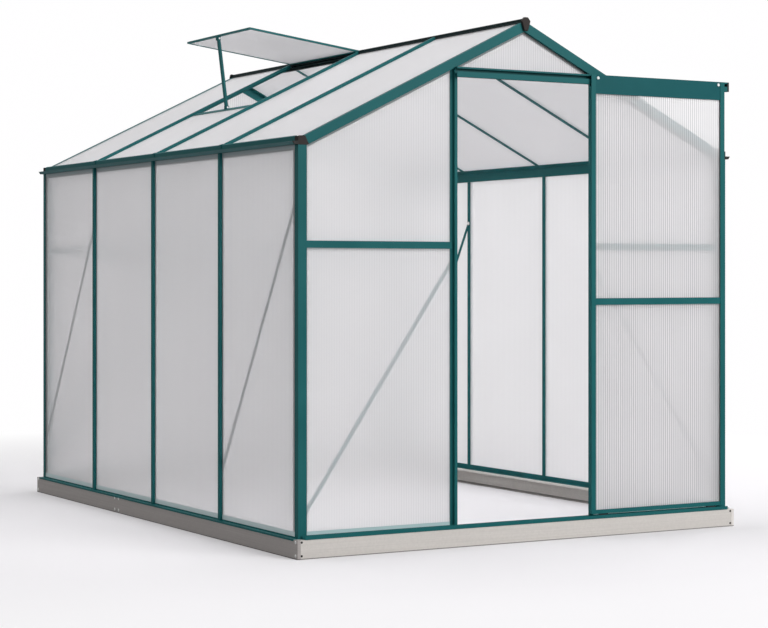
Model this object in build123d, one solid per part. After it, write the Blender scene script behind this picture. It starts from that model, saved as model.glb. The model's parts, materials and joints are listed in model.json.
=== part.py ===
from build123d import *
from math import atan2, cos, degrees, hypot, radians, sin, tan
import os

# Hobby greenhouse: aluminium frame, twin-wall sheets, steel base, sliding door and an open roof vent.
# Millimetres. The origin is on the ground at the middle of the base, +Z up, the door gable at -Y.

# Plan and heights
bay_pitch = 617.0
bay_count = 4
frame_width = 1865.0
base_height = 66.0
base_side_margin = 17.5
eave_height = 1438.0
roof_rise = 460.0

# Steel base
steel = 1.5
base_top_flange = 50.0
base_end_flange = 58.0
base_foot_flange = 40.0
base_lip = 9.0
corner_tab = 12.0
splice_place = 340.0
splice_length = 150.0
angle_leg = 40.0
joint_gap = 1.0
overcut = 1.0

# Aluminium sections
wall = 1.5
bar_box = 14.0
bar_rise = 9.5
web = 2.5
side_depth = 2.0
gable_depth = 12.5
sheet = 4.0
inner_flange = 24.0
sheet_play = 2.0
sheet_edge_play = 1.0
corner_face = 33.0
corner_side = 25.0
corner_reach = 43.0
sill_height = 22.0
sill_lip = 6.0
sill_foot = 22.0
drip_height = 5.0

# Eave, gutter and ridge
eave_drop = 36.0
gutter_reach = 22.0
gutter_floor = 14.5
gutter_depth = 18.0
gutter_lip_rise = 11.0
eave_box = 18.0
eave_seat = 28.0
eave_seat_end = 44.0
eave_cover = 12.5
roof_sheet_start = 3.5
ridge_cover = 12.0
ridge_seat = 24.0
ridge_rib = 6.0
ridge_rib_rise = 11.0
ridge_keel = 22.0
keel_foot = 13.0

# Moulded caps
cap_length = 30.0
cap_height = 19.0
cap_proud = 1.0
cap_crown = 8.0
cap_plug_play = 1.0
ridge_cap_drop = 36.0
ridge_cap_half = 19.5
ridge_cap_foot_half = 8.0
ridge_cap_top_half = 8.0
ridge_cap_proud = 3.0
ridge_cap_depth = 10.0
ridge_cap_shoulder = 6.0
ridge_cap_round = 5.0
ridge_cap_edge = 3.0
rear_cap_half = 12.0
rear_cap_depth = 3.0
rear_cap_edge = 1.0

# Gable openings and rails
doorway_width = 580.0
post_box = 11.5
post_depth = 10.0
post_step = 13.0
rear_post_place = 300.0
mid_rail_drop = 360.5
mid_rail_face = 25.0
header_rise = 252.0
header_height = 26.0
header_ledge = 10.0

# Sliding door
door_overlap = 24.0
door_park_margin = 26.5
door_depth = 18.0
door_base_margin = 2.0
stile_width = 20.0
stile_box = 10.0
stile_drop = 8.0
door_sheet_depth = 6.0
door_mid_place = 788.5
door_mid_face = 25.0
door_bottom_face = 15.0
door_bottom_web = 6.0
fascia_height = 70.0
fascia_thickness = 2.0
fascia_groove = 16.0
fascia_drop = 1.0
fascia_gap = 6.5
door_gap = 5.0

# Top and bottom tracks
track_overhang = 12.0
track_end_margin = 4.5
track_shelf = 12.0
track_cover = 6.0
track_cap = 8.0
wheel_radius = 9.5
wheel_width = 8.0
wheel_top_gap = 1.7
wheel_back_gap = 4.5
wheel_front_gap = 2.5
axle_radius = 3.0
axle_gap = 1.3
bolt_head_radius = 5.5
bolt_head = 3.0
boss_gap = 2.0
roller_inset = 30.0
running_gap = 0.3
bottom_track_margin = 12.5
bottom_track_lip = 13.0
guide_width = 8.0
guide_length = 40.0
guide_play = 6.25
guide_inset = 60.0

# Braces
brace_width = 15.0
brace = 2.0
brace_inset = 6.5
wall_brace_drop = 228.0
wall_brace_rise = 184.0
gable_brace_drop = 63.5
gable_brace_rise = 86.0

# Roof vent
vent_reach = 534.0
vent_end_gap = 27.0
vent_side_gap = 3.0
vent_lift = 7.5
vent_rail = 9.0
vent_depth = 8.0
vent_sill_cover = 16.0
vent_sill_lip = 9.0
vent_sill_foot = 12.0
hinge_rise = 7.0
hinge_radius = 4.7
stay_width = 20.0
stay = 8.0

# Worked out from the values above
half_width = frame_width / 2
half_length = bay_pitch * bay_count / 2
pitch = atan2(roof_rise, half_width)
slope_length = hypot(roof_rise, half_width)
apex = eave_height + roof_rise
ridge_top = apex + ridge_rib_rise
side_back = side_depth + sheet
side_flange = side_back + wall
gable_back = gable_depth + sheet
gable_flange = gable_back + wall
corner_box = gable_back
sheet_start = corner_box + sheet_play
eave_bottom = eave_height - eave_drop
gutter_height = eave_height - gutter_depth
eave_top_run = bar_rise * tan(pitch)
eave_top = eave_height + bar_rise / cos(pitch)
post_top = eave_height - cap_height
sill_top = base_height + sill_height
sill_floor = base_height + wall
mid_rail_height = eave_height - mid_rail_drop
header_bottom = eave_height + header_rise
header_top = header_bottom + header_height
peak_sheet_bottom = header_bottom + header_ledge + wall

# Tracks and door, worked out from the wheels, the guides and the doorway
wheel_rise = track_shelf + wall + running_gap + wheel_radius
track_height = wheel_rise + wheel_radius + wheel_top_gap + wall
track_face = wheel_rise - axle_radius - axle_gap
track_reach = wall + wheel_back_gap + wheel_width + wheel_front_gap + wall
track_top = header_top
track_bottom = track_top - track_height
track_start = -doorway_width / 2 - track_overhang
track_end = half_width - track_end_margin
door_face_reach = track_reach + fascia_gap + fascia_thickness + wall
door_face_y = -(half_length + door_face_reach)
base_half_width = half_width + base_side_margin
base_half_length = half_length + door_face_reach + door_base_margin
bottom_track_half = half_width - bottom_track_margin
bottom_track_gap = guide_width + 2 * guide_play
door_bottom = base_height + bottom_track_lip + door_gap
door_mid_height = door_bottom + door_mid_place
door_top = track_top - fascia_drop
stile_box_top = track_bottom - stile_drop
door_width = doorway_width + 2 * door_overlap
door_start = half_width - door_park_margin - door_width
door_end = door_start + door_width

# Roof vent, in the bay behind the middle of the ridge
vent_bay = bay_count // 2
vent_sill_run = slope_length - vent_reach
vent_length = vent_reach - vent_end_gap
hinge_offset = ridge_rib / 2 + hinge_radius + running_gap
hinge_height = apex + hinge_rise
bar_places = [bay_pitch * (i - bay_count / 2) for i in range(1, bay_count)]

os.makedirs("parts", exist_ok=True)


def save(name, shapes):
    """Write the solids of one named piece."""
    solids = []
    for shape in shapes:
        solids.extend(shape.solids())
    export_step(Compound(children=solids), f"parts/{name}.step")


def rect(x0, x1, y0, y1):
    """Rectangle between two corners."""
    return Pos((x0 + x1) / 2, (y0 + y1) / 2) * Rectangle(abs(x1 - x0), abs(y1 - y0))


def block(x0, x1, y0, y1, z0, z1):
    """Box between two corners."""
    centre = Pos((x0 + x1) / 2, (y0 + y1) / 2, (z0 + z1) / 2)
    return centre * Box(abs(x1 - x0), abs(y1 - y0), abs(z1 - z0))


def outline(points):
    """Flat face inside a closed polygon."""
    return make_face(Polyline(*points, close=True))


def along_y(section, y0, y1):
    """Extrude a section drawn in x and z from y0 to y1."""
    plane = Plane(origin=(0, y1, 0), x_dir=(1, 0, 0), z_dir=(0, -1, 0))
    return extrude(plane * section, amount=y1 - y0)


def along_x(section, x0, x1):
    """Extrude a section drawn in y and z from x0 to x1."""
    plane = Plane(origin=(x0, 0, 0), x_dir=(0, 1, 0), z_dir=(1, 0, 0))
    return extrude(plane * section, amount=x1 - x0)


def along_z(section, z0, z1):
    """Extrude a section drawn in x and y from z0 to z1."""
    return extrude(Pos(0, 0, z0) * section, amount=z1 - z0)


def left_wall_run(section, y, z0, z1):
    """Stand a section on the left wall: its x is along the wall, its y is outward."""
    plane = Plane(origin=(-half_width, y, z0), x_dir=(0, 1, 0), z_dir=(0, 0, 1))
    return extrude(plane * section, amount=z1 - z0)


def left_slope_run(section, y, s0, s1):
    """Lay a section up the left slope: its x is along the ridge, its y is outward."""
    up = (cos(pitch), 0, sin(pitch))
    start = (-half_width + s0 * up[0], y, eave_height + s0 * up[2])
    plane = Plane(origin=start, x_dir=(0, 1, 0), z_dir=up)
    return extrude(plane * section, amount=s1 - s0)


def slope_point(s, depth):
    """Point of the left slope, s up from the eave and depth below the bar heads, as x and z."""
    x = -half_width + s * cos(pitch) + depth * sin(pitch)
    z = eave_height + s * sin(pitch) - depth * cos(pitch)
    return (x, z)


def slope_strip(s0, s1, depth0, depth1):
    """Section in x and z that lies parallel to the left slope."""
    corners = [(s0, depth0), (s1, depth0), (s1, depth1), (s0, depth1)]
    return outline([slope_point(s, depth) for s, depth in corners])


def roof_line(x, depth):
    """Height of the slope at x, depth below the bar heads."""
    return apex - abs(x) * tan(pitch) - depth / cos(pitch)


def mirror_x(shape):
    return mirror(shape, about=Plane.YZ)


def mirror_y(shape):
    return mirror(shape, about=Plane.XZ)


def both_sides(shapes):
    return shapes + [mirror_x(shape) for shape in shapes]


def both_ends(shapes):
    return shapes + [mirror_y(shape) for shape in shapes]


def bar_section(rise, depth):
    """Glazing bar: box that stands out over the sheets, web between them and flange behind them."""
    half = bar_box / 2
    back = depth + sheet
    shape = rect(-half, half, rise - wall, rise)
    for side in (-1, 1):
        shape += rect(side * half, side * (half - wall), -depth, rise)
    shape += rect(-web / 2, web / 2, -back - wall, rise)
    return shape + rect(-inner_flange / 2, inner_flange / 2, -back - wall, -back)


def corner_section():
    """Corner section: x is back from the gable face, y is outward from the side face."""
    shape = rect(0, wall, -corner_face, 0)
    shape += rect(0, corner_side, -wall, 0)
    shape += rect(0, corner_box, -corner_box, -corner_box + wall)
    shape += rect(corner_box - wall, corner_box, -corner_box, 0)
    shape += rect(0, gable_depth, -corner_face, -corner_face + wall)
    shape += rect(corner_box, gable_flange, -corner_reach, -corner_box + wall)
    return shape + rect(corner_box - wall, corner_reach, -side_flange, -side_back)


def base_side_rails():
    """Left base rail in two lengths, with end tabs that wrap the end rails."""
    x = -base_half_width
    top = rect(x, x + base_top_flange, base_height - steel, base_height)
    foot = rect(x, x + base_foot_flange, 0, steel)
    inner = x + base_top_flange
    lip = rect(inner - steel, inner, base_height - base_lip, base_height)
    web_face = rect(x, x + steel, 0, base_height)
    flange_end = base_half_length - 2 * steel
    rail = along_y(web_face, -base_half_length, base_half_length)
    rail += along_y(top + foot + lip, -flange_end, flange_end)
    for side in (-1, 1):
        y = side * base_half_length
        rail += block(x, x + corner_tab, y, y - side * steel, 0, base_height)
    splice = rect(x - overcut, inner + overcut, -overcut, base_height + overcut)
    return rail - along_y(splice, splice_place - joint_gap / 2, splice_place + joint_gap / 2)


def base_end_rail():
    """Front base rail between the side rails."""
    y = -base_half_length + steel
    shape = along_x(rect(y, y + steel, 0, base_height), -base_half_width + steel, base_half_width - steel)
    top_half = base_half_width - base_top_flange
    foot_half = base_half_width - base_foot_flange
    inner = -base_half_length + 2 * steel + base_end_flange
    shape += along_x(rect(y, inner, base_height - steel, base_height), -top_half, top_half)
    shape += along_x(rect(inner - steel, inner, base_height - base_lip, base_height), -top_half, top_half)
    shape += along_x(rect(y, y + base_foot_flange, 0, steel), -foot_half, foot_half)
    return shape


def base_angle():
    """Angle plate inside the front left corner of the base."""
    x = -base_half_width + steel
    y = -base_half_length + 2 * steel
    z0 = 2 * steel
    z1 = base_height - 2 * steel
    plate = block(x, x + steel, y, y + angle_leg, z0, z1)
    return plate + block(x, x + angle_leg, y, y + steel, z0, z1)


def base_splice():
    """Plate behind the splice of the left base rail."""
    x = -base_half_width + steel
    y0 = splice_place - splice_length / 2
    return block(x, x + steel, y0, y0 + splice_length, 2 * steel, base_height - 2 * steel)


def side_sill():
    """Left sill: floor with a drip edge over the base, low lip and inner wall on both sides of the sheets."""
    x = -half_width
    drip = -base_half_width - wall
    end = half_length - corner_side
    inner_end = half_length - corner_reach
    edge = rect(drip, x, base_height, sill_floor)
    edge += rect(drip, drip + wall, base_height - drip_height, sill_floor)
    outer = rect(x, x + side_back, base_height, sill_floor)
    outer += rect(x, x + wall, base_height, base_height + sill_lip)
    inner = rect(x, x + sill_foot, base_height, sill_floor)
    inner += rect(x + side_back, x + side_flange, base_height, sill_top)
    sill = along_y(outer, -end, end) + along_y(inner, -inner_end, inner_end)
    return sill + along_y(edge, -half_length, half_length)


def gable_sill_walls(x0, x1, face_start, face_end):
    """Front sill walls from x0 to x1: the ledge and inner wall, with the face running on to its ends."""
    y = -half_length
    lip_top = base_height + sill_lip
    face = along_x(rect(y, y + wall, base_height, lip_top), face_start, face_end)
    ledge = along_x(rect(y, y + gable_depth, lip_top - wall, lip_top), x0, x1)
    inner = along_x(rect(y + gable_back, y + gable_flange, base_height, sill_top), x0, x1)
    return face + ledge + inner


def gable_sill_floor():
    y = -half_length
    half = half_width - corner_reach
    return along_x(rect(y, y + gable_flange, base_height, sill_floor), -half, half)


def front_sill():
    """Front sill with the door's bottom track along its outer edge."""
    corner_in = -half_width + corner_reach
    corner_out = -half_width + corner_face
    post_in = -doorway_width / 2 - post_box
    walls = gable_sill_walls(corner_in, post_in - post_step, corner_out, post_in)
    y = -base_half_length
    guide_wall = y + wall + bottom_track_gap
    lip_top = base_height + bottom_track_lip
    track = rect(y, -half_length, base_height, sill_floor)
    track += rect(y, y + wall, base_height, lip_top)
    track += rect(guide_wall, guide_wall + wall, base_height, lip_top)
    shape = along_x(track, -bottom_track_half, bottom_track_half)
    return shape + gable_sill_floor() + walls + mirror_x(walls)


def rear_sill():
    corner_in = half_width - corner_reach
    corner_out = half_width - corner_face
    return mirror_y(gable_sill_floor() + gable_sill_walls(-corner_in, corner_in, -corner_out, corner_out))


def wall_bars():
    """Glazing bars of the left wall, with the flange between the inner walls of sill and eave."""
    section = bar_section(bar_rise, side_depth)
    outer = section - rect(-inner_flange, inner_flange, -side_flange, -side_back)
    proud = section - rect(-inner_flange, inner_flange, -side_flange, 0)
    between = rect(-web / 2, web / 2, -side_back, -side_depth)
    top = roof_line(half_width - side_depth, side_flange) - sheet_play
    bars = []
    for y in bar_places:
        bar = left_wall_run(section, y, sill_top, eave_bottom)
        bar += left_wall_run(outer, y, base_height + sill_lip, gutter_height)
        bar += left_wall_run(proud, y, sill_floor, base_height + sill_lip)
        bar += left_wall_run(between, y, sill_floor, top)
        bars.append(bar)
    return bars


def eave():
    """Left eave beam: outer wall with a cover over the roof sheets, seat under them, box and gutter."""
    x = -half_width
    end = half_length - corner_side
    inner_end = half_length - corner_reach
    outer = rect(x, x + wall, gutter_height, eave_top + wall)
    outer -= slope_strip(-eave_cover, eave_cover, -bar_rise - 2 * wall, -bar_rise)
    outer += slope_strip(eave_top_run, eave_cover, -bar_rise, -bar_rise + wall)
    outer += slope_strip(eave_cover - wall, eave_cover, -bar_rise, side_depth)
    seat_start = (wall / 2 - side_flange * sin(pitch)) / cos(pitch)
    outer += slope_strip(seat_start, eave_seat, side_back, side_flange)
    inner = slope_strip(eave_seat - wall, eave_seat_end, side_back, side_flange)
    inner += rect(x + side_back, x + eave_box, eave_bottom, eave_bottom + wall)
    for depth in (side_back, eave_box - wall):
        wall_top = roof_line(x + depth + wall, side_back + wall / 2)
        inner += rect(x + depth, x + depth + wall, eave_bottom, wall_top)
    inner -= slope_strip(-eave_seat, slope_length, 0, side_back)
    gutter = rect(x - gutter_floor, x, gutter_height, gutter_height + wall)
    lip = [
        (x - gutter_floor, gutter_height),
        (x - gutter_reach, gutter_height + gutter_lip_rise),
        (x - gutter_reach + wall, gutter_height + gutter_lip_rise),
        (x - gutter_floor + wall, gutter_height + wall),
    ]
    gutter += outline(lip)
    beam = along_y(outer, -end, end) + along_y(inner, -inner_end, inner_end)
    return beam + along_y(gutter, -half_length, half_length)


def roof_bars():
    """Glazing bars of the left slope, with the flange between the seats of eave and ridge."""
    section = bar_section(bar_rise, side_depth)
    outer = section - rect(-inner_flange, inner_flange, -side_flange, -side_back)
    bars = []
    for y in bar_places:
        bar = left_slope_run(section, y, eave_seat_end, slope_length - ridge_seat)
        bar += left_slope_run(outer, y, eave_cover, slope_length - ridge_cover)
        bars.append(bar)
    return bars


def ridge():
    """Ridge beam: rib, covers over the sheets, keel and seats under the sheets."""
    s1 = slope_length + ridge_seat
    cover = slope_strip(slope_length - ridge_cover, s1, -wall, 0)
    seat = slope_strip(slope_length - ridge_seat, s1, side_back, side_flange)
    left_half = rect(-half_width, 0, 0, 2 * apex)
    cover = cover & left_half
    seat = seat & left_half
    top = cover + mirror(cover, about=Plane.YZ)
    top += rect(-ridge_rib / 2, ridge_rib / 2, apex, ridge_top - ridge_rib / 2)
    top += Pos(0, ridge_top - ridge_rib / 2) * Circle(ridge_rib / 2)
    keel = rect(-wall, wall, apex - ridge_keel, apex + wall)
    keel += rect(-keel_foot / 2, keel_foot / 2, apex - ridge_keel - wall, apex - ridge_keel)
    keel += seat + mirror(seat, about=Plane.YZ)
    inner_end = half_length - corner_reach
    return along_y(top, -half_length, half_length) + along_y(keel, -inner_end, inner_end)


def rafter():
    """Front left rafter, cut upright at the ridge."""
    bar = left_slope_run(corner_section(), -half_length, cap_length, slope_length + corner_reach)
    beyond = rect(-joint_gap / 2, half_width, eave_height, apex + corner_reach)
    return bar - along_y(beyond, -half_length - overcut, 0)


def corner_post():
    """Front left corner post."""
    return left_wall_run(corner_section(), -half_length, base_height, post_top)


def eave_cap():
    """Moulded cap over the front left corner, between post, eave and rafter."""
    x = -half_width
    front = outline([
        (x, post_top),
        (x + corner_face, post_top),
        slope_point(cap_length, corner_face),
        slope_point(cap_length, 0),
        slope_point(cap_crown, -bar_rise),
        (x, eave_top),
    ])
    front_y = -half_length
    shape = along_y(front, front_y - cap_proud, front_y + wall)
    side = rect(x, x + wall, post_top, eave_top)
    side += slope_strip(0, cap_length, 0, wall)
    shape += along_y(side, front_y - cap_proud, front_y + corner_side)
    plug_depth = gable_depth - cap_plug_play
    plug = rect(x, x + plug_depth, post_top, eave_height - cap_plug_play)
    return shape + along_y(plug, front_y, front_y + plug_depth)


def ridge_cap(half, depth, edge):
    """Moulded cap on the front end of the ridge: tapered foot, round shoulders and a soft front edge."""
    top = ridge_top + ridge_cap_proud
    foot = apex - ridge_cap_drop
    face = outline([
        (-ridge_cap_foot_half, foot),
        (ridge_cap_foot_half, foot),
        (half, apex),
        (ridge_cap_top_half, top),
        (-ridge_cap_top_half, top),
        (-half, apex),
    ])
    for height, radius in ((apex, ridge_cap_shoulder), (top, ridge_cap_round)):
        corners = face.vertices().filter_by_position(Axis.Y, height - running_gap, height + running_gap)
        face = fillet(corners, radius)
    cap = along_y(face, -half_length - depth, -half_length)
    return fillet(cap.faces().sort_by(Axis.Y)[0].edges(), edge)


def roof_clearance():
    """Space of the front rafters that an upright gable post must stay under."""
    far = half_width + corner_reach
    top = apex + corner_reach
    layers = [(corner_face, -wall, gable_back), (corner_reach, gable_back, gable_flange + wall)]
    pieces = []
    for depth, start, end in layers:
        low = roof_line(far, depth)
        under = outline([(-far, low), (0, roof_line(0, depth)), (far, low), (far, top), (-far, top)])
        pieces.append(along_y(under, -half_length + start, -half_length + end))
    return pieces[0] + pieces[1]


def door_post():
    """Left door post: shallow box by the doorway and groove for the gable sheets."""
    x = -doorway_width / 2
    y = -half_length
    box_end = x - post_box
    end = box_end - post_step
    shape = rect(x, box_end, y, y + post_depth)
    shape -= rect(x - wall, box_end + wall, y + wall, y + post_depth - wall)
    shape += rect(box_end, box_end + wall, y, y + gable_flange)
    shape += rect(box_end, end, y + gable_depth - wall, y + gable_depth)
    shape += rect(box_end, end, y + gable_back, y + gable_flange)
    return along_z(shape, sill_floor, apex) - roof_clearance()


def rear_post():
    """Rear left gable post, built at the front and mirrored."""
    turned = Pos(-rear_post_place, -half_length) * Rot(0, 0, 180)
    section = bar_section(0, gable_depth)
    outer = section - rect(-inner_flange, inner_flange, -gable_flange, -gable_back)
    post = along_z(turned * section, sill_top, apex)
    post += along_z(turned * outer, base_height + sill_lip, sill_top)
    return mirror_y(post - roof_clearance())


def gable_mid_rail(x0, x1, flange0, flange1):
    """Rail between lower and upper gable sheets, drawn on the front gable."""
    y = -half_length
    z = mid_rail_height
    half = mid_rail_face / 2
    hat = rect(y, y + wall, z - half, z + half)
    for side in (-1, 1):
        hat += rect(y, y + gable_depth, z + side * half, z + side * (half - wall))
    hat += rect(y, y + gable_back, z - wall / 2, z + wall / 2)
    back = rect(y + gable_back, y + gable_flange, z - half, z + half)
    return along_x(hat, x0, x1) + along_x(back, flange0, flange1)


def front_mid_rail():
    step = -half_width + corner_face
    post = -doorway_width / 2 - post_box - post_step
    return gable_mid_rail(step, post, -half_width + corner_reach, post)


def rear_mid_rails():
    step = -half_width + corner_face
    face_end = -rear_post_place - bar_box / 2
    flange_end = -rear_post_place - inner_flange / 2
    face_half = rear_post_place - bar_box / 2
    flange_half = rear_post_place - inner_flange / 2
    outer = gable_mid_rail(step, face_end, -half_width + corner_reach, flange_end)
    inner = gable_mid_rail(-face_half, face_half, -flange_half, flange_half)
    return [mirror_y(shape) for shape in (outer, mirror_x(outer), inner)]


def door_header():
    """Rail over the doorway, behind the track."""
    y = -half_length
    shape = rect(y, y + wall, header_bottom, header_top)
    shape += rect(y, y + gable_flange, header_bottom + header_ledge, peak_sheet_bottom)
    shape += rect(y + gable_back, y + gable_flange, header_bottom, header_top)
    rail = along_x(shape, -doorway_width / 2, doorway_width / 2)
    return rail - roof_clearance()


def door_track():
    """Top track: back plate, wheel shelf, face and cover with a slot between them."""
    y = -half_length
    front = y - track_reach
    shelf = track_bottom + track_shelf
    shape = rect(y - wall, y, track_bottom, track_top)
    shape += rect(front, y, shelf, shelf + wall)
    shape += rect(front, front + wall, track_bottom, track_bottom + track_face)
    shape += rect(front, y, track_top - wall, track_top)
    shape += rect(front, front + wall, track_top - track_cover, track_top)
    return along_x(shape, track_start, track_end)


def track_end_cap():
    y = -half_length
    return block(track_end, track_end + track_cap, y - track_reach, y, track_bottom, track_top)


def flat_brace(start, end, origin, x_dir, z_dir):
    """Flat bar with round ends between two points of a wall's own plane."""
    length = hypot(end[0] - start[0], end[1] - start[1])
    angle = degrees(atan2(end[1] - start[1], end[0] - start[0]))
    middle = Pos((start[0] + end[0]) / 2, (start[1] + end[1]) / 2)
    shape = middle * Rot(0, 0, angle) * SlotCenterToCenter(length, brace_width)
    return extrude(Plane(origin=origin, x_dir=x_dir, z_dir=z_dir) * shape, amount=brace)


def wall_braces():
    """Braces inside the left wall: front bay and rear bay."""
    x = -half_width + side_flange
    corner = half_length - corner_reach + brace_inset
    high = eave_height - wall_brace_drop
    low = base_height + wall_brace_rise
    first = ((-corner, high), (bar_places[0], low))
    last = ((bar_places[-1], high), (corner, low))
    return [flat_brace(a, b, (x, 0, 0), (0, 1, 0), (1, 0, 0)) for a, b in (first, last)]


def gable_braces():
    """Braces inside the left half of both gables."""
    y = half_length - gable_flange
    corner = -half_width + corner_reach - brace_inset
    high = mid_rail_height - gable_brace_drop
    low = (corner, base_height + gable_brace_rise)
    post = -doorway_width / 2 - post_box - post_step / 2
    front = flat_brace((post, high), low, (0, -y + brace, 0), (1, 0, 0), (0, -1, 0))
    rear = flat_brace((-rear_post_place, high), low, (0, y, 0), (1, 0, 0), (0, -1, 0))
    return [front, rear]


def bay_edges(bay):
    """Start and end along the length of the sheet in one bay."""
    ends = half_length - sheet_start
    lines = [-ends] + bar_places + [ends]
    gap = web / 2 + sheet_play
    start = lines[bay] if bay == 0 else lines[bay] + gap
    end = lines[bay + 1] if bay == bay_count - 1 else lines[bay + 1] - gap
    return start, end


def wall_sheets():
    """Left wall sheets, one a bay."""
    x = -half_width + side_depth
    top = roof_line(x, side_flange) - sheet_play
    sheets = []
    for bay in range(bay_count):
        y0, y1 = bay_edges(bay)
        sheets.append(block(x, x + sheet, y0, y1, sill_floor, top))
    return sheets


def roof_sheets(vented):
    """Left slope sheets, one a bay; the vented bay has only a short one under the vent."""
    end = slope_length - (side_back * sin(pitch) + sheet_play) / cos(pitch)
    sheets = []
    for bay in range(bay_count):
        y0, y1 = bay_edges(bay)
        top = vent_sill_run - sheet_play if vented and bay == vent_bay else end
        section = rect(y0, y1, -side_back, -side_depth)
        sheets.append(left_slope_run(section, 0, roof_sheet_start, top))
    return sheets


def gable_sheet(x0, x1, z0, z1):
    """Front gable sheet from x0 to x1, its top under the roof where z1 is None."""
    y = -half_length + gable_depth
    if z1 is not None:
        return block(x0, x1, y, y + sheet, z0, z1)
    tops = [x for x in (x1, 0, x0) if x0 <= x <= x1]
    points = [(x0, z0), (x1, z0)]
    points += [(x, roof_line(x, sheet_start)) for x in dict.fromkeys(tops)]
    return along_y(outline(points), y, y + sheet)


def gable_side_sheets(edge):
    """Lower and upper sheets of the front left panel, up to a post at x = -edge."""
    x0 = -half_width + sheet_start
    rail = wall / 2 + running_gap
    lower = gable_sheet(x0, -edge, sill_floor, mid_rail_height - rail)
    upper = gable_sheet(x0, -edge, mid_rail_height + rail, None)
    return [lower, upper]


def rear_sheets():
    gap = web / 2 + sheet_play
    sides = both_sides(gable_side_sheets(rear_post_place + gap))
    half = rear_post_place - gap
    rail = wall / 2 + running_gap
    middle = [gable_sheet(-half, half, sill_floor, mid_rail_height - rail)]
    middle.append(gable_sheet(-half, half, mid_rail_height + rail, None))
    return [mirror_y(shape) for shape in sides + middle]


def peak_sheet():
    half = doorway_width / 2 - sheet_play
    return gable_sheet(-half, half, peak_sheet_bottom, None)


def vent_sill():
    """Cross rail under the vent, between two roof bars."""
    y0 = bar_places[vent_bay - 1] + bar_box / 2
    y1 = bar_places[vent_bay] - bar_box / 2
    s = vent_sill_run
    side = (inner_flange - bar_box) / 2
    cover = rect(y0, y1, -wall, 0)
    foot = rect(y0 + side, y1 - side, -side_flange, -side_back)
    sill = left_slope_run(rect(y0, y1, -side_back, 0), 0, s, s + wall)
    sill += left_slope_run(cover, 0, s - vent_sill_lip, s + vent_sill_cover)
    return sill + left_slope_run(foot, 0, s - vent_sill_foot, s + vent_sill_foot)


def vent_plane():
    """Plane of the open vent: x along the ridge, y down from the hinge along the vent."""
    lift = radians(vent_lift)
    return Plane(origin=(-hinge_offset, 0, hinge_height), x_dir=(0, 1, 0), z_dir=(sin(lift), 0, cos(lift)))


def vent_edges():
    y0 = bar_places[vent_bay - 1] + vent_side_gap
    y1 = bar_places[vent_bay] - vent_side_gap
    return y0, y1


def vent_frame():
    """Rails round the vent sheet, with the hinge bead along the ridge side."""
    y0, y1 = vent_edges()
    outer = vent_plane() * rect(y0, y1, 0, vent_length)
    frame = extrude(outer, amount=vent_depth / 2, both=True)
    hole = vent_plane() * rect(y0 + vent_rail, y1 - vent_rail, vent_rail, vent_length - vent_rail)
    frame -= extrude(hole, amount=vent_depth, both=True)
    groove = vent_rail / 2
    slot = vent_plane() * rect(y0 + groove, y1 - groove, groove, vent_length - groove)
    frame -= extrude(slot, amount=sheet / 2, both=True)
    bead = along_y(Pos(-hinge_offset, hinge_height) * Circle(hinge_radius), y0, y1)
    return frame + bead


def vent_sheet():
    y0, y1 = vent_edges()
    groove = vent_rail / 2 + running_gap
    shape = vent_plane() * rect(y0 + groove, y1 - groove, groove, vent_length - groove)
    return extrude(shape, amount=sheet / 2, both=True)


def vent_stay():
    """Flat stay from the vent sill up to the vent's lower rail."""
    y = (bar_places[vent_bay - 1] + bar_places[vent_bay]) / 2
    lift = radians(vent_lift)
    top_x = -hinge_offset - vent_length * cos(lift)
    top_z = hinge_height + vent_length * sin(lift) - vent_depth / 2 / cos(lift)
    foot_x, foot_z = slope_point(vent_sill_run + vent_sill_cover, 0)
    section = outline([
        (foot_x - stay, foot_z - stay * tan(pitch)),
        (foot_x, foot_z),
        (top_x + stay, top_z - stay * tan(lift)),
        (top_x, top_z),
    ])
    return along_y(section, y - stay_width / 2, y + stay_width / 2)


def door_rail(z0, z1, web_z):
    """Cross rail of the door: face wall, web and rear wall between the stiles."""
    y = door_face_y
    back = door_sheet_depth + sheet
    x0 = door_start + stile_box
    x1 = door_end - stile_box
    front = rect(y + wall, y + 2 * wall, z0, z1) + rect(y + wall, y + back, web_z, web_z + wall)
    rear = rect(y + back, y + back + wall, z0, z1)
    inset = stile_width - stile_box
    return along_x(front, x0, x1) + along_x(rear, x0 + inset, x1 - inset)


def door_stile():
    """Left door stile: box, sheet groove and a front flange that runs up over the fascia."""
    x = door_start
    y = door_face_y
    back = door_sheet_depth + sheet
    shape = rect(x, x + stile_box, y, y + door_depth)
    shape -= rect(x + wall, x + stile_box - wall, y + wall, y + door_depth - wall)
    shape += rect(x, x + stile_width, y, y + wall)
    shape += rect(x + stile_box - wall, x + stile_width, y + back, y + back + wall)
    stile = along_z(shape, door_bottom, stile_box_top)
    return stile + along_z(rect(x, x + stile_width, y, y + wall), stile_box_top, door_top)


def mirror_door(shape):
    """Mirror a door piece to the door's other stile."""
    centre = (door_start + door_end) / 2
    return mirror(shape, about=Plane(origin=(centre, 0, 0), z_dir=(1, 0, 0)))


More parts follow.
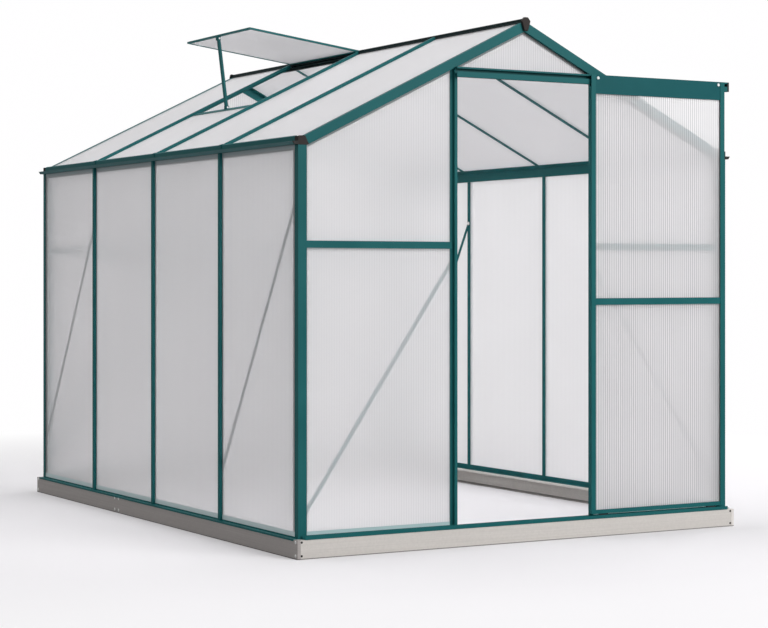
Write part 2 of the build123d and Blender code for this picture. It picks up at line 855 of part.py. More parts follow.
def door_fascia():
    """Deep top rail that hides the wheels, with a groove for the upper sheet."""
    y = door_face_y + wall
    back = door_face_y + door_sheet_depth + sheet
    bottom = door_top - fascia_height
    web_z = bottom + fascia_groove
    face = rect(y, y + fascia_thickness, bottom, door_top)
    shape = along_x(face, door_start + running_gap, door_end - running_gap)
    notch = rect(y, y + fascia_thickness, bottom - overcut, stile_box_top)
    notch = along_x(notch, door_start - overcut, door_start + stile_box)
    shape -= notch
    shape -= mirror_door(notch)
    x0 = door_start + stile_width
    x1 = door_end - stile_width
    groove = rect(y, back + wall, web_z, web_z + wall) + rect(back, back + wall, bottom, web_z)
    shape += along_x(groove, x0, x1)
    for x in roller_places():
        hole = Pos(x, wheel_height()) * Circle(axle_radius + running_gap)
        shape -= along_y(hole, y - overcut, y + fascia_thickness + overcut)
    return shape


def roller_places():
    return [door_start + roller_inset, door_end - roller_inset]


def wheel_height():
    return track_bottom + wheel_rise


def door_roller(x):
    """Nylon wheel on its bolt, hung from the fascia."""
    fascia_front = door_face_y + wall
    fascia_back = fascia_front + fascia_thickness
    wheel_back = -half_length - wall - wheel_back_gap
    wheel_front = wheel_back - wheel_width
    boss_front = -half_length - track_reach - boss_gap
    profile = [
        (0, fascia_front - bolt_head),
        (bolt_head_radius, fascia_front - bolt_head),
        (bolt_head_radius, fascia_front),
        (axle_radius, fascia_front),
        (axle_radius, fascia_back),
        (bolt_head_radius, fascia_back),
        (bolt_head_radius, boss_front),
        (axle_radius, boss_front),
        (axle_radius, wheel_front),
        (wheel_radius, wheel_front),
        (wheel_radius, wheel_back),
        (0, wheel_back),
    ]
    turned = revolve(outline(profile), axis=Axis.Y)
    return Pos(x, 0, wheel_height()) * turned


def door_guide(x):
    """Nylon guide that runs in the bottom track."""
    middle = -base_half_length + wall + bottom_track_gap / 2
    y0 = middle - guide_width / 2
    x0 = x - guide_length / 2
    x1 = x + guide_length / 2
    foot = block(x0, x1, y0, y0 + guide_width, sill_floor + door_gap, door_bottom)
    tongue_y = door_face_y + 2 * wall
    tongue_back = door_face_y + door_sheet_depth + sheet
    return foot + block(x0, x1, tongue_y, tongue_back, door_bottom, door_bottom + door_bottom_web)


def door_sheet(z0, z1):
    x0 = door_start + stile_box + sheet_edge_play
    x1 = door_end - stile_box - sheet_edge_play
    y = door_face_y + door_sheet_depth
    return block(x0, x1, y, y + sheet, z0, z1)


save("base_left", [base_side_rails()])
save("base_right", [mirror_x(base_side_rails())])
save("base_front", [base_end_rail()])
save("base_rear", [mirror_y(base_end_rail())])
save("base_joiners", both_sides(both_ends([base_angle()]) + [base_splice()]))
save("sill_left", [side_sill()])
save("sill_right", [mirror_x(side_sill())])
save("sill_front_with_track", [front_sill()])
save("sill_rear", [rear_sill()])
save("corner_posts", both_sides(both_ends([corner_post()])))
save("left_wall_bars", wall_bars())
save("right_wall_bars", [mirror_x(bar) for bar in wall_bars()])
save("eave_left", [eave()])
save("eave_right", [mirror_x(eave())])
save("ridge", [ridge()])
save("gable_rafters", both_sides(both_ends([rafter()])))
save("left_roof_bars", roof_bars())
save("right_roof_bars", [mirror_x(bar) for bar in roof_bars()])
save("eave_corner_caps", both_sides(both_ends([eave_cap()])))
front_cap = ridge_cap(ridge_cap_half, ridge_cap_depth, ridge_cap_edge)
rear_cap = mirror_y(ridge_cap(rear_cap_half, rear_cap_depth, rear_cap_edge))
save("ridge_end_caps", [front_cap, rear_cap])
save("door_posts", both_sides([door_post()]))
save("rear_posts", both_sides([rear_post()]))
save("gable_mid_rails", both_sides([front_mid_rail()]) + rear_mid_rails())
save("door_header", [door_header()])
save("door_track", [door_track()])
save("door_track_end_cap", [track_end_cap()])
save("braces", both_sides(wall_braces() + gable_braces()))
save("left_wall_sheets", wall_sheets())
save("right_wall_sheets", [mirror_x(shape) for shape in wall_sheets()])
save("left_roof_sheets", roof_sheets(True))
save("right_roof_sheets", [mirror_x(shape) for shape in roof_sheets(False)])
post_edge = doorway_width / 2 + post_box + sheet_edge_play
save("front_gable_sheets", both_sides(gable_side_sheets(post_edge)) + [peak_sheet()])
save("rear_gable_sheets", rear_sheets())
save("vent_sill", [vent_sill()])
save("vent_frame", [vent_frame()])
save("vent_sheet", [vent_sheet()])
save("vent_stay", [vent_stay()])

rail_web = door_mid_height - wall / 2
bottom_web = door_bottom + door_bottom_web
fascia_web = door_top - fascia_height + fascia_groove
save("door_stiles", [door_stile(), mirror_door(door_stile())])
save("door_fascia", [door_fascia()])
rail_bottom = door_mid_height - door_mid_face / 2
save("door_mid_rail", [door_rail(rail_bottom, rail_bottom + door_mid_face, rail_web)])
save("door_bottom_rail", [door_rail(door_bottom, door_bottom + door_bottom_face, bottom_web)])
save("door_lower_sheet", [door_sheet(bottom_web + wall, rail_web - running_gap)])
save("door_upper_sheet", [door_sheet(rail_web + wall + running_gap, fascia_web - running_gap)])
save("door_rollers", [door_roller(x) for x in roller_places()])
save("door_guides", [door_guide(door_start + guide_inset), door_guide(door_end - guide_inset)])
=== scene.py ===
import json
from math import atan2, cos, pi, radians, sin

import bmesh
import bpy
from mathutils import Matrix, Vector

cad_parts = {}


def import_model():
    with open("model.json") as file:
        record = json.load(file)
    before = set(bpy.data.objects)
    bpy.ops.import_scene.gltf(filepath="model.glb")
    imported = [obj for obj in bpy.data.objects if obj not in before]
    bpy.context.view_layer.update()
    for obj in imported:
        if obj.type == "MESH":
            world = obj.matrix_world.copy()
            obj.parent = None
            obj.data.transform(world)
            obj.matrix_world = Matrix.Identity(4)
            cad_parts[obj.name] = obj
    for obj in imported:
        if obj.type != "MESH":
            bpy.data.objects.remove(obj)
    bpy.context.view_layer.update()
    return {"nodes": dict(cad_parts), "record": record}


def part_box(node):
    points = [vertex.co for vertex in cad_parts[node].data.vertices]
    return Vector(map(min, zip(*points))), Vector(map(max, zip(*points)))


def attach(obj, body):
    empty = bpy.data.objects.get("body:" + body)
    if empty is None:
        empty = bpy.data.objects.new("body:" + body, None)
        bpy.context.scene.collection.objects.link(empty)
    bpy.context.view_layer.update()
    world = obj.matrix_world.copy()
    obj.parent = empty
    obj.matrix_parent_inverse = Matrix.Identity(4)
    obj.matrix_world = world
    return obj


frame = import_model()

# All places are in metres, in the frame of the CAD model. The door's gable faces -Y, and the
# vent is on the left slope, at -X.

# Body that the pieces ride on
ROOT = "greenhouse"

# Camera, fitted to the edges of the base, the frame and the roof
CAMERA_PLACE = (-4.1653, -7.4564, 0.9759)
CAMERA_TURN = radians(-29.857)
CAMERA_LENS = 95.90
CAMERA_SHIFT_Y = -0.0524

# Sheets: the pitch of their ribs, how far from its middle a rib starts to fade and has faded,
# as shares of the pitch, and the span across the building where their contrast changes
RIB_PITCH = 0.010
RIB_FADE = (0.12, 0.38)
RIB_CONTRAST_SPAN = (-0.9, 0.3)

# Sheets: the heights where rails stand behind their ends, and how softly those ends begin
SILL_LINE = 0.089
SILL_BLUR = 0.001
# EAVE_LINE also bounds the painted shadow under the gutter on the head of the wall sheets
EAVE_LINE = 1.404
EAVE_BLUR = 0.006

# Height of the painted shadow line at the foot of the steel base, where it meets the floor
FOOT_SHADOW_LINE = 0.0022

# Roof slope, from the run and rise of one half
HALF_WIDTH = 0.9325
ROOF_RISE = 0.460
ROOF_PITCH = atan2(ROOF_RISE, HALF_WIDTH)

# Fasteners: radius of the heads and how far they stand out
BOLT_HEAD = 0.0042
BOLT_RISE = 0.0024
SCREW_HEAD = 0.0028
SCREW_RISE = 0.0012
NUT_RADIUS = 0.0050
NUT_RISE = 0.0035

# Places of the base's fasteners: heights, and how far in from a corner or from the splice
BASE_BOLT_HEIGHTS = (0.012, 0.0585)
BASE_BOLT_INSET = 0.015
BASE_SCREW_INSET = 0.0165
SPLICE_PLACE = 0.340
SPLICE_BOLT_OFFSETS = (-0.02, 0.02)

# Braces of one wall and of each gable, each end as its place along the wall and its height
BRACE_THICKNESS = 0.002
WALL_BRACES = (((-1.1975, 1.210), (-0.617, 0.250)), ((0.617, 1.210), (1.1975, 0.250)))
FRONT_BRACE = ((-0.308, 1.014), (-0.896, 0.152))
REAR_BRACE = ((-0.300, 1.014), (-0.896, 0.152))

# Eave line, the gutter's section, the span where its outer face begins, and the plugs in its ends
EAVE_HEIGHT = 1.438
GUTTER_BOTTOM = 1.420
GUTTER_FLOOR = 0.0145
GUTTER_REACH = 0.022
GUTTER_LIP = 0.011
GUTTER_FACE = (HALF_WIDTH + 0.010, HALF_WIDTH + 0.013)
PLUG_DEPTH = 0.004
PLUG_RISE = 0.0015

# Moulded ends of the roof bars: a plate on the slope, and a hook over the front of the eave
BAR_PLACES = (-0.617, 0.0, 0.617)
BAR_END_RUN = 0.0065
BAR_END_RISE = 0.0105
BAR_END_SIZE = (0.0142, 0.0125, 0.0030)
BAR_END_EDGE = 0.0008
BAR_HOOK_SIZE = (0.0024, 0.0142, 0.0150)
BAR_HOOK_RISE = 0.0065
BAR_HOOK_EDGE = 0.0006

# Brackets of the vent's stay
STAY_HALF = 0.010
STAY_PLATE = (0.013, 0.0015, 0.015)
STAY_PLATE_EDGE = 0.0005
STAY_INSET = 0.004

# Floor: distances between which it fades to white, and the span to the camera's right over
# which it gets a little darker as painted shade
FLOOR_SIZE = 120.0
FLOOR_FADE = (2.2, 4.5)
FLOOR_SHADE = (-0.6, 0.9)

# Light of the surroundings on the object, and the white that the camera sees behind it
SOFT_STRENGTH = 0.40
BACKDROP = (1.0, 0.995, 1.0, 1.0)


def node_adder(tree):
    """A helper that adds a shader node with its settings, and sets or links its inputs."""
    def add(kind, inputs=None, **settings):
        node = tree.nodes.new("ShaderNode" + kind)
        for key, value in settings.items():
            setattr(node, key, value)
        for key, value in (inputs or {}).items():
            if hasattr(value, "is_output"):
                tree.links.new(value, node.inputs[key])
            else:
                node.inputs[key].default_value = value
        return node

    return add


def new_material(name):
    """A new material without nodes, and the helper that adds them."""
    mat = bpy.data.materials.new(name)
    mat.use_nodes = True
    mat.node_tree.nodes.clear()
    return mat, node_adder(mat.node_tree)


def finish_material(mat, add, surface):
    """Make a shader the material's surface."""
    out = add("OutputMaterial", {"Surface": surface})
    out.is_active_output = True
    return mat


def grey(value):
    return (value, value, value)


def object_places(add):
    """Object coordinates, which are the frame's own for CAD nodes and pieces alike."""
    return add("TexCoord").outputs["Object"]


def noise(add, coords, scale, detail):
    """Values of a noise texture."""
    return add("TexNoise", {"Vector": coords, "Scale": scale, "Detail": detail}).outputs["Fac"]


def split(add, coords):
    """Outputs X, Y and Z of the coordinates."""
    return add("SeparateXYZ", {"Vector": coords}).outputs


def calc(add, operation, *values):
    """Result of a Math node."""
    return add("Math", dict(enumerate(values)), operation=operation).outputs[0]


def ramp(add, value, low, high):
    """Colour between two stops, each given as its place and its colour."""
    node = add("ValToRGB", {"Fac": value})
    for element, (place, colour) in zip(node.color_ramp.elements, (low, high)):
        element.position = place
        element.color = (*colour, 1.0)
    return node.outputs["Color"]


def scaled(add, value, span, result):
    """Map a span of values to a result range, clamped at both ends."""
    node = add("MapRange", {
        "Value": value, "From Min": span[0], "From Max": span[1], "To Min": result[0], "To Max": result[1],
    })
    return node.outputs["Result"]


def mixed_colour(add, kind, share, first, second):
    """Colour of a Mix node; colours given as tuples are set on its sockets."""
    first, second = (c if hasattr(c, "is_output") else (*c, 1.0) for c in (first, second))
    return add("Mix", {0: share, 6: first, 7: second}, data_type="RGBA", blend_type=kind).outputs[2]


def powder_coat(name, low, high, lit_lip=None):
    """Satin powder coat with a faint orange peel and slight shade changes.

    Where a lighter colour is given for the outer face of the gutters, that face takes it as painted light,
    standing in for light bounced up from the floor.
    """
    mat, add = new_material(name)
    coords = object_places(add)
    drift = noise(add, coords, 5.0, 3.0)
    peel = noise(add, coords, 1500.0, 2.0)
    colour = ramp(add, drift, (0.3, low), (0.7, high))
    # Painted light: the outer face of the gutters takes a lighter colour, standing in for light bounced up
    # from the floor.
    if lit_lip is not None:
        away = calc(add, "ABSOLUTE", split(add, coords)["X"])
        outer = scaled(add, away, GUTTER_FACE, (0.0, 1.0))
        colour = mixed_colour(add, "MIX", outer, colour, lit_lip)
    speck = ramp(add, peel, (0.35, grey(0.9)), (0.65, grey(1.06)))
    shader = add("BsdfPrincipled", {
        "Base Color": mixed_colour(add, "MULTIPLY", 1.0, colour, speck),
        "Roughness": ramp(add, drift, (0.3, grey(0.36)), (0.7, grey(0.46))),
        "Normal": add("Bump", {"Height": peel, "Strength": 0.12, "Distance": 0.0002}).outputs["Normal"],
        "Specular IOR Level": 0.10,
    })
    return finish_material(mat, add, shader.outputs[0])


def galvanised(name, scale, light, dark):
    """Dull galvanised steel: rolling streaks along the given stretch, fine spangle, and a painted shadow
    line at the foot.
    """
    mat, add = new_material(name)
    coords = object_places(add)
    streaks = noise(add, add("Mapping", {"Vector": coords, "Scale": scale}).outputs["Vector"], 1.0, 5.0)
    spangle = add("TexVoronoi", {"Vector": coords, "Scale": 130.0}).outputs["Color"]
    bare = add("RGBToBW", {"Color": spangle}).outputs["Val"]
    base = ramp(add, streaks, (0.3, dark), (0.7, light))
    flake = ramp(add, bare, (0.2, grey(0.975)), (0.8, grey(1.015)))
    # Painted shadow: the colour darkens along the foot of the base, where it meets the floor
    foot = scaled(add, split(add, coords)["Z"], (FOOT_SHADOW_LINE, FOOT_SHADOW_LINE * 1.6), (0.30, 1.0))
    shaded = mixed_colour(add, "MULTIPLY", 1.0, flake, foot)
    shader = add("BsdfPrincipled", {
        "Base Color": mixed_colour(add, "MULTIPLY", 1.0, base, shaded),
        "Roughness": ramp(add, streaks, (0.3, grey(0.58)), (0.7, grey(0.46))),
        "Normal": add("Bump", {"Height": streaks, "Strength": 0.25, "Distance": 0.0004}).outputs["Normal"],
        "Metallic": 0.15,
        "Specular IOR Level": 0.4,
    })
    return finish_material(mat, add, shader.outputs[0])


def moulded(name, low, high, roughness):
    """Moulded plastic with a fine grain."""
    mat, add = new_material(name)
    grain = noise(add, object_places(add), 700.0, 4.0)
    shader = add("BsdfPrincipled", {
        "Base Color": ramp(add, grain, (0.35, low), (0.65, high)),
        "Normal": add("Bump", {"Height": grain, "Strength": 0.3, "Distance": 0.0003}).outputs["Normal"],
        "Roughness": roughness,
        "Specular IOR Level": 0.4,
    })
    return finish_material(mat, add, shader.outputs[0])


def zinc():
    """Bright zinc-plated fasteners with faint turning marks."""
    mat, add = new_material("zinc_plate")
    marks = noise(add, object_places(add), 600.0, 3.0)
    shader = add("BsdfPrincipled", {
        "Base Color": ramp(add, marks, (0.35, (0.90, 0.90, 0.89)), (0.65, (0.97, 0.97, 0.96))),
        "Roughness": ramp(add, marks, (0.35, grey(0.3)), (0.65, grey(0.42))),
        "Metallic": 0.1,
    })
    return finish_material(mat, add, shader.outputs[0])


def roller_parts():
    """Dark nylon wheels whose bolt heads, in front of the fascia, are bright metal."""
    mat, add = new_material("door_roller_parts")
    coords = object_places(add)
    grain = noise(add, coords, 500.0, 4.0)
    fascia_low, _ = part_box("door_fascia")
    face_span = (fascia_low.y - 0.0001, fascia_low.y + 0.0001)
    behind = scaled(add, split(add, coords)["Y"], face_span, (0.0, 1.0))
    metal = ramp(add, grain, (0.35, (0.80, 0.84, 0.83)), (0.65, (0.92, 0.95, 0.94)))
    nylon_colour = ramp(add, grain, (0.35, (0.02, 0.02, 0.022)), (0.65, (0.045, 0.045, 0.05)))
    shader = add("BsdfPrincipled", {
        "Base Color": mixed_colour(add, "MIX", behind, metal, nylon_colour),
        "Roughness": 0.4,
        "Specular IOR Level": 0.4,
    })
    return finish_material(mat, add, shader.outputs[0])


def rib_mask(add, place):
    """1 on the ribs of a twin-wall sheet and 0 midway between them, along one coordinate."""
    turns = calc(add, "MULTIPLY", place, 1.0 / RIB_PITCH)
    saw = calc(add, "FLOORED_MODULO", turns, 1.0)
    distance = calc(add, "ABSOLUTE", calc(add, "SUBTRACT", saw, 0.5))
    return scaled(add, distance, RIB_FADE, (1.0, 0.0))


def twin_wall(name, axis, milk_painted_shade, clear, passed, lamp, contrast, foot=None, head=None):
    """Translucent twin-wall sheet: part clear with a frosted blur, part milky, its ribs along one axis.

    Milk painted shade is how bright the milky part is; it is set per surface as painted light and
    shade, lower on surfaces that get less light, such as the vent, which faces down. Clear is the
    share of the clear part, passed the share of light that the milky part passes, and lamp the share
    of lamp light that each skin lets through. The contrast of the ribs goes from its first to its
    second value across the building. Where a rail stands right behind the foot or the head of a
    sheet, the sheet shows the colour given for it instead of what is behind it; the colour given for
    the head of the wall sheets is darkened as a painted shadow under the gutter.
    """
    mat, add = new_material(name)
    coords = object_places(add)
    places = split(add, coords)
    strength = scaled(add, places["X"], RIB_CONTRAST_SPAN, contrast)
    ribs = calc(add, "MULTIPLY", rib_mask(add, places[axis]), strength)
    # Painted light and shade: the milky colour's brightness is set per surface
    cloud = (0.985 * milk_painted_shade, 0.973 * milk_painted_shade, 0.99 * milk_painted_shade)
    thin_cloud = tuple(0.97 * part for part in cloud)
    white = ramp(add, noise(add, coords, 3.0, 4.0), (0.3, thin_cloud), (0.7, cloud))
    line = ramp(add, ribs, (0.0, grey(1.0)), (1.0, grey(0.55)))
    body = mixed_colour(add, "MULTIPLY", 1.0, white, line)
    clear_part = scaled(add, ribs, (0.0, 1.0), (clear, clear * 0.6))
    passed_part = passed
    foot_span = (SILL_LINE + SILL_BLUR, SILL_LINE - SILL_BLUR)
    head_span = (EAVE_LINE - EAVE_BLUR, EAVE_LINE + EAVE_BLUR)
    # The head colour of the wall sheets carries a painted shadow under the gutter
    for span, colour in ((foot_span, foot), (head_span, head)):
        if colour is not None:
            end = scaled(add, places["Z"], span, (0.0, 1.0))
            open_part = calc(add, "SUBTRACT", 1.0, end)
            body = mixed_colour(add, "MIX", end, body, colour)
            clear_part = calc(add, "MULTIPLY", clear_part, open_part)
            passed_part = calc(add, "MULTIPLY", open_part, passed_part)
    reflected = add("BsdfPrincipled", {"Base Color": body, "Roughness": 0.3, "Specular IOR Level": 0.3})
    translucent = add("BsdfTranslucent", {"Color": body})
    cloudy = add("MixShader", {0: passed_part, 1: reflected.outputs[0], 2: translucent.outputs[0]})
    frosted = add("BsdfRefraction", {"Color": (1.0, 1.0, 1.0, 1.0), "Roughness": 0.30, "IOR": 1.3})
    both = add("MixShader", {0: clear_part, 1: cloudy.outputs[0], 2: frosted.outputs[0]})
    lamp_way = add("BsdfTransparent", {"Color": (lamp, lamp, lamp, 1.0)})
    is_shadow = add("LightPath").outputs["Is Shadow Ray"]
    out = add("MixShader", {0: is_shadow, 1: both.outputs[0], 2: lamp_way.outputs[0]})
    return finish_material(mat, add, out.outputs[0])


def dress(nodes, mat):
    """Give every material slot of these CAD nodes one material."""
    for name in nodes:
        for slot in frame["nodes"][name].material_slots:
            slot.material = mat


def new_piece(name, mesh_builder, mat, body):
    """A mesh piece made by a bmesh function, riding on a body."""
    mesh = bpy.data.meshes.new(name)
    bm = bmesh.new()
    mesh_builder(bm)
    bm.normal_update()
    bm.to_mesh(mesh)
    bm.free()
    mesh.materials.append(mat)
    obj = bpy.data.objects.new(name, mesh)
    bpy.context.scene.collection.objects.link(obj)
    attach(obj, body)


def facing(place, direction):
    """Matrix that puts +Z of a small part along a direction at a place."""
    turn = Vector(direction).to_track_quat("Z", "Y").to_matrix().to_4x4()
    return Matrix.Translation(Vector(place)) @ turn


def add_lathe(bm, matrix, sides, *rings):
    """Closed turned form from rings of radius and height, low to high."""
    angles = [2 * pi * i / sides for i in range(sides)]
    loops = []
    for radius, height in rings:
        points = [Vector((radius * cos(a), radius * sin(a), height)) for a in angles]
        loops.append([bm.verts.new(matrix @ point) for point in points])
    for lower, upper in zip(loops, loops[1:]):
        for i in range(sides):
            j = (i + 1) % sides
            bm.faces.new((lower[i], lower[j], upper[j], upper[i]))
    bm.faces.new(loops[-1])
    bm.faces.new(list(reversed(loops[0])))


def add_button(bm, matrix, radius, rise):
    """Low domed head on a thin washer."""
    washer = ((radius * 1.45, 0.0), (radius * 1.45, rise * 0.2), (radius, rise * 0.25))
    dome = ((radius * 0.97, rise * 0.6), (radius * 0.72, rise * 0.92), (radius * 0.3, rise))
    add_lathe(bm, matrix, 20, *washer, *dome)


def add_hex_nut(bm, matrix, radius, rise):
    """Hexagon nut with chamfered top on a round washer, and the bolt's rounded end."""
    end = radius * 0.55
    add_lathe(bm, matrix, 24, (radius * 1.6, 0.0), (radius * 1.6, rise * 0.25))
    add_lathe(bm, matrix, 6, (radius, rise * 0.25), (radius, rise * 1.1), (radius * 0.85, rise * 1.3))
    add_lathe(bm, matrix, 16, (end, rise * 1.3), (end, rise * 1.8), (radius * 0.4, rise * 2.0))


def add_plate(bm, matrix, size, edge):
    """Small plate with softened edges, its middle at the matrix's place."""
    made = bmesh.ops.create_cube(bm, size=1.0, matrix=matrix @ Matrix.Diagonal((*size, 1.0)))
    edges = {e for vert in made["verts"] for e in vert.link_edges}
    bmesh.ops.bevel(bm, geom=list(edges), offset=edge, segments=2, affect="EDGES", profile=0.5)


def add_prism(bm, corners, start, end):
    """Solid between two places along y, from corners in x and z."""
    rows = [[bm.verts.new((x, y, z)) for x, z in corners] for y in (start, end)]
    count = len(corners)
    for i in range(count):
        j = (i + 1) % count
        bm.faces.new((rows[0][i], rows[0][j], rows[1][j], rows[1][i]))
    bm.faces.new(rows[0])
    bm.faces.new(rows[1])
    bmesh.ops.recalc_face_normals(bm, faces=bm.faces)


def base_bolts(bm):
    """Bolts on the side faces of the base: two at each corner, and two pairs over each splice."""
    low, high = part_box("base_left")
    corner = high.y - BASE_BOLT_INSET
    places = [-corner, corner] + [SPLICE_PLACE + offset for offset in SPLICE_BOLT_OFFSETS]
    for side in (-1, 1):
        for y in places:
            for z in BASE_BOLT_HEIGHTS:
                add_button(bm, facing((side * -low.x, y, z), (side, 0, 0)), BOLT_HEAD, BOLT_RISE)


def base_screws(bm):
    """Two dark screws on each end face of the base, beside the corner tabs."""
    side_low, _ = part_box("base_left")
    front_low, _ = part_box("base_front")
    x = -side_low.x - BASE_SCREW_INSET
    y = -front_low.y
    for side in (-1, 1):
        for end in (-1, 1):
            for z in BASE_BOLT_HEIGHTS:
                add_button(bm, facing((side * x, end * y, z), (0, end, 0)), SCREW_HEAD, SCREW_RISE)


def brace_nuts(bm):
    """Nuts on the ends of all the braces, inside the building."""
    _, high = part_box("braces")
    for side in (-1, 1):
        x = side * (high.x - BRACE_THICKNESS)
        for brace in WALL_BRACES:
            for y, z in brace:
                add_hex_nut(bm, facing((x, y, z), (-side, 0, 0)), NUT_RADIUS, NUT_RISE)
        for end, brace in ((-1, FRONT_BRACE), (1, REAR_BRACE)):
            y = end * (high.y - BRACE_THICKNESS)
            for x_place, z in brace:
                add_hex_nut(bm, facing((-side * x_place, y, z), (0, -end, 0)), NUT_RADIUS, NUT_RISE)


def bar_ends(bm):
    """Moulded green ends of the roof bars, lapped over the cover of the eave."""
    x = HALF_WIDTH - BAR_END_RUN * cos(ROOF_PITCH) + BAR_END_RISE * sin(ROOF_PITCH)
    z = EAVE_HEIGHT + BAR_END_RUN * sin(ROOF_PITCH) + BAR_END_RISE * cos(ROOF_PITCH)
    hook_x = HALF_WIDTH + BAR_HOOK_SIZE[0] / 2
    hook_z = EAVE_HEIGHT + BAR_HOOK_RISE
    for side in (-1, 1):
        outward = (side * sin(ROOF_PITCH), 0, cos(ROOF_PITCH))
        for y in BAR_PLACES:
            add_plate(bm, facing((side * x, y, z), outward), BAR_END_SIZE, BAR_END_EDGE)
            add_plate(bm, Matrix.Translation((side * hook_x, y, hook_z)), BAR_HOOK_SIZE, BAR_HOOK_EDGE)


def gutter_plugs(bm):
    """Black plugs in the four ends of the gutters."""
    _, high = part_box("eave_left")
    top = GUTTER_BOTTOM + GUTTER_LIP
    for side in (-1, 1):
        corners = [
            (side * HALF_WIDTH, GUTTER_BOTTOM),
            (side * (HALF_WIDTH + GUTTER_FLOOR), GUTTER_BOTTOM),
            (side * (HALF_WIDTH + GUTTER_REACH), top),
            (side * HALF_WIDTH, top),
        ]
        for end in (-1, 1):
            add_prism(bm, corners, end * (high.y - PLUG_DEPTH), end * (high.y + PLUG_RISE))


def stay_ends(offset):
    """Side and place of the plates or pins at the foot and the head of the vent's stay."""
    low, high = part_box("vent_stay")
    reach = STAY_HALF + offset
    middle = (low.y + high.y) / 2
    foot = (high.x - STAY_INSET, low.z + STAY_PLATE[2] / 2)
    head = (low.x + STAY_INSET, high.z - STAY_PLATE[2] / 2)
    return [(side, (x, middle + side * reach, z)) for x, z in (foot, head) for side in (-1, 1)]


def stay_brackets(bm):
    """Pairs of small plates that hold the foot and the head of the vent's stay."""
    for _, place in stay_ends(STAY_PLATE[1] / 2):
        add_plate(bm, Matrix.Translation(place), STAY_PLATE, STAY_PLATE_EDGE)


def stay_pins(bm):
    """Pin heads on the outside of the stay's brackets."""
    for side, place in stay_ends(STAY_PLATE[1]):
        add_button(bm, facing(place, (0, side, 0)), SCREW_HEAD, SCREW_RISE)


def floor_material():
    """Pale studio floor that keeps the shadow near the object and fades to white far away.

    Only what is seen, directly or through a sheet, shows it pale. It sends less light back up.
    """
    mat, add = new_material("studio_floor")
    coords = object_places(add)
    distance = add("VectorMath", {0: coords}, operation="LENGTH").outputs["Value"]
    places = split(add, coords)
    from_x = calc(add, "MULTIPLY", places["X"], cos(CAMERA_TURN))
    aside = calc(add, "MULTIPLY_ADD", places["Y"], sin(CAMERA_TURN), from_x)
    # Painted shade: the floor's colour darkens a little toward the camera's right
    shade = scaled(add, aside, FLOOR_SHADE, (0.0, 1.0))
    pale = ramp(add, shade, (0.0, (0.90, 0.885, 0.905)), (1.0, (0.83, 0.816, 0.835)))
    path = add("LightPath").outputs
    seen = calc(add, "MAXIMUM", path["Is Camera Ray"], path["Is Transmission Ray"])
    matt = add("BsdfDiffuse", {"Color": pale})
    white = add("Emission", {"Color": BACKDROP, "Strength": 1.0})
    dim = add("BsdfDiffuse", {"Color": (0.36, 0.36, 0.36, 1.0)})
    far = scaled(add, distance, FLOOR_FADE, (0.0, 1.0))
    spread = add("MixShader", {0: far, 1: matt.outputs[0], 2: white.outputs[0]})
    out = add("MixShader", {0: seen, 1: dim.outputs[0], 2: spread.outputs[0]})
    return finish_material(mat, add, out.outputs[0])


def stage_floor():
    """Large flat floor under the object."""
    bpy.ops.mesh.primitive_plane_add(size=FLOOR_SIZE, location=(0.0, 0.0, 0.0))
    floor = bpy.context.object
    floor.name = "stage_floor"
    floor.data.materials.append(floor_material())


def world():
    """Plain soft light, with a white background for what is seen directly or through a sheet."""
    scene_world = bpy.data.worlds.new("studio")
    bpy.context.scene.world = scene_world
    scene_world.use_nodes = True
    scene_world.node_tree.nodes.clear()
    add = node_adder(scene_world.node_tree)
    path = add("LightPath").outputs
    seen = calc(add, "MAXIMUM", path["Is Camera Ray"], path["Is Transmission Ray"])
    soft = add("Background", {"Color": (1.0, 1.0, 1.0, 1.0), "Strength": SOFT_STRENGTH})
    white = add("Background", {"Color": BACKDROP, "Strength": 1.0})
    mix = add("MixShader", {0: seen, 1: soft.outputs[0], 2: white.outputs[0]})
    add("OutputWorld", {"Surface": mix.outputs[0]})


def area_light(name, place, target, size, power):
    """Rectangular lamp that faces a target."""
    data = bpy.data.lights.new(name, "AREA")
    data.shape = "RECTANGLE"
    data.size, data.size_y = size
    data.energy = power
    lamp = bpy.data.objects.new(name, data)
    lamp.location = place
    lamp.rotation_euler = (Vector(target) - Vector(place)).to_track_quat("-Z", "Y").to_euler()
    bpy.context.scene.collection.objects.link(lamp)


def camera():
    """Level camera at the photograph's place, with a small shift down."""
    data = bpy.data.cameras.new("camera")
    data.sensor_fit = "HORIZONTAL"
    data.sensor_width = 36.0
    data.lens = CAMERA_LENS
    data.shift_y = CAMERA_SHIFT_Y
    data.clip_end = 200.0
    obj = bpy.data.objects.new("camera", data)
    obj.location = CAMERA_PLACE
    obj.rotation_euler = (radians(90.0), 0.0, CAMERA_TURN)
    bpy.context.scene.collection.objects.link(obj)
    bpy.context.scene.camera = obj


# Green powder coat, near black on the ridge; darker on the door's top rails as painted shade,
# and lighter on the outer face of the gutters as painted light
coat = ((0.012, 0.125, 0.131), (0.017, 0.144, 0.150))
paint = powder_coat("powder_coat", *coat)
# Painted light on the gutters' outer face, standing in for light bounced up from the floor
lit_gutter_paint = powder_coat("powder_coat_gutter_painted_light", *coat, lit_lip=(0.085, 0.21, 0.225))
# Painted shade: a darker copy of the coat for the door's top rails
door_top_painted_shade = powder_coat("powder_coat_door_top_painted_shade", (0.006, 0.099, 0.109), (0.010, 0.115, 0.126))
ridge_paint = powder_coat("powder_coat_ridge", (0.006, 0.018, 0.019), (0.009, 0.024, 0.025))

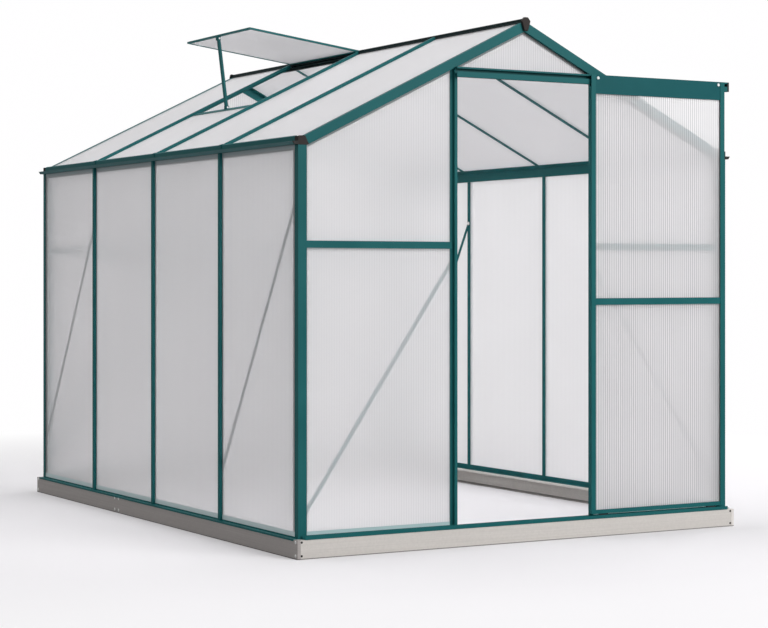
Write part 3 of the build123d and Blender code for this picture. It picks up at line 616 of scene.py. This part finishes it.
# Steel, rolled along x on the ends of the base and along y on its sides; one steel in copies of
# different brightness as painted light and shade, darker on the left side, paler on the right side
# and the joiners
along_x = (2.5, 90.0, 240.0)
along_y = (90.0, 2.5, 240.0)
end_steel = galvanised("galvanised_end", along_x, (0.78, 0.74, 0.705), (0.72, 0.68, 0.645))
side_steel_painted_shade = galvanised("galvanised_side_painted_shade", along_y, (0.505, 0.47, 0.455), (0.46, 0.425, 0.415))
pale_steel_painted_light = galvanised("galvanised_pale_painted_light", along_y, (0.93, 0.885, 0.85), (0.87, 0.83, 0.795))
bright = zinc()

# Plastics
dark = moulded("dark_caps", (0.011, 0.007, 0.006), (0.023, 0.014, 0.012), 0.65)
black = moulded("black_plugs", (0.004, 0.004, 0.004), (0.010, 0.009, 0.009), 0.55)
nylon = moulded("dark_nylon", (0.02, 0.02, 0.022), (0.045, 0.045, 0.05), 0.45)

# Sheets, with the colours of the rails behind their ends; the head colour of the wall sheets stands
# for the eave behind them, darkened as a painted shadow under the gutter, and the milk of each
# surface is painted light and shade, darkest on the vent, which faces down
front_foot = (0.55, 0.72, 0.735)
wall_foot = (0.80, 0.92, 0.94)
# Colour of the eave seen through the wall sheets, darkened as a painted shadow under the gutter
wall_head_painted_shade = (0.42, 0.49, 0.52)
gable_sheet = twin_wall("sheet_gables", "X", 0.88, 0.58, 0.25, 0.8, (0.12, 0.60), front_foot)
door_sheet = twin_wall("sheet_door", "X", 1.0, 0.62, 0.25, 0.8, (1.0, 1.0), front_foot)
wall_sheet = twin_wall("sheet_walls", "Y", 0.915, 0.52, 0.25, 0.8, (0.30, 0.30), wall_foot, wall_head_painted_shade)
roof_sheet = twin_wall("sheet_roof", "Y", 0.90, 0.36, 0.10, 0.76, (0.10, 0.10))
vent_sheet = twin_wall("sheet_vent", "Y", 0.82, 0.36, 0.10, 0.76, (0.10, 0.10))

slots = {entry["node"]: entry["material_slot"] for entry in frame["record"]["subparts"]}
for slot_name, slot_material in (("green_frame", paint), ("dark_caps", dark), ("nylon", nylon)):
    dress([node for node, slot in slots.items() if slot == slot_name], slot_material)
dress(["base_left"], side_steel_painted_shade)
dress(["base_right", "base_joiners"], pale_steel_painted_light)
dress(["base_front", "base_rear"], end_steel)
dress(["eave_left", "eave_right"], lit_gutter_paint)
dress(["ridge"], ridge_paint)
dress(["door_fascia", "door_header"], door_top_painted_shade)
dress(["door_track_end_cap"], black)
dress(["door_rollers"], roller_parts())
dress(["left_wall_sheets", "right_wall_sheets"], wall_sheet)
dress(["left_roof_sheets", "right_roof_sheets"], roof_sheet)
dress(["vent_sheet"], vent_sheet)
dress(["front_gable_sheets", "rear_gable_sheets"], gable_sheet)
dress(["door_lower_sheet", "door_upper_sheet"], door_sheet)

new_piece("base_bolts", base_bolts, bright, ROOT)
new_piece("base_screws", base_screws, black, ROOT)
new_piece("brace_nuts", brace_nuts, bright, ROOT)
new_piece("roof_bar_ends", bar_ends, paint, ROOT)
new_piece("gutter_plugs", gutter_plugs, black, ROOT)
new_piece("stay_brackets", stay_brackets, paint, ROOT)
new_piece("stay_pins", stay_pins, bright, ROOT)

stage_floor()
world()
area_light("front_light", (3.0, -8.0, 4.5), (0.0, -1.0, 0.9), (5.0, 4.0), 440.0)
area_light("side_light", (7.0, 1.5, 1.9), (0.9, 0.0, 0.8), (4.0, 3.0), 255.0)
area_light("top_light", (-1.0, 0.5, 7.0), (0.0, 0.0, 1.0), (5.0, 5.0), 210.0)
camera()
bpy.context.scene.view_settings.view_transform = "Standard"
